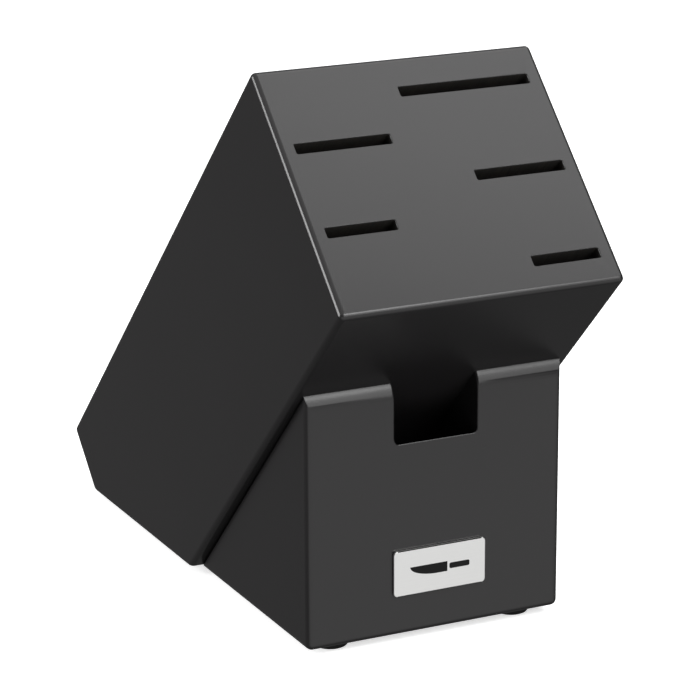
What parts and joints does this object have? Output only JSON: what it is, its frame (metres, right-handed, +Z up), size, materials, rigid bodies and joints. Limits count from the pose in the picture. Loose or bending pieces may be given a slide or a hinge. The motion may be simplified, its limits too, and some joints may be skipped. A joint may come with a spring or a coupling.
{
  "type": "knife block",
  "caption": "Slanted laminated knife block with staggered blade slots in its top face, on a notched wedge with a channel for shears, a small badge plate and rubber feet.",
  "frame": {"origin": "on the resting plane of the feet, under the middle of the bounding box", "axes": "+Z up, -Y to the front, where the mouth overhangs the wedge, +X to the right as seen from the front, along the slots; the block leans back towards +Y at 45 degrees"},
  "size_m": [0.11, 0.2524, 0.206],
  "materials": {
    "anthracite_lacquer": "opaque anthracite lacquer on solid wood, satin",
    "dowel_beech": "bare beech",
    "badge_aluminium": "fine brushed, clear anodised",
    "adhesive_film": "black double-sided film",
    "foot_rubber": "matt black rubber",
    "screw_steel": "zinc plated"
  },
  "bodies": {
    "root": {"paring_board": "anthracite_lacquer", "utility_board": "anthracite_lacquer", "carving_board": "anthracite_lacquer", "bread_board": "anthracite_lacquer", "chef_board": "anthracite_lacquer", "back_board": "anthracite_lacquer", "wedge_cheek_left": "anthracite_lacquer", "wedge_stave": "anthracite_lacquer", "wedge_cheek_right": "anthracite_lacquer", "dowel_left_low": "dowel_beech", "dowel_left_high": "dowel_beech", "dowel_right_low": "dowel_beech", "dowel_right_high": "dowel_beech", "badge_film": "adhesive_film", "badge_plate": "badge_aluminium", "foot_front_left": "foot_rubber", "foot_front_right": "foot_rubber", "foot_rear_left": "foot_rubber", "foot_rear_right": "foot_rubber", "screw_front_left": "screw_steel", "screw_front_right": "screw_steel", "screw_rear_left": "screw_steel", "screw_rear_right": "screw_steel"}
  },
  "joints": []
}
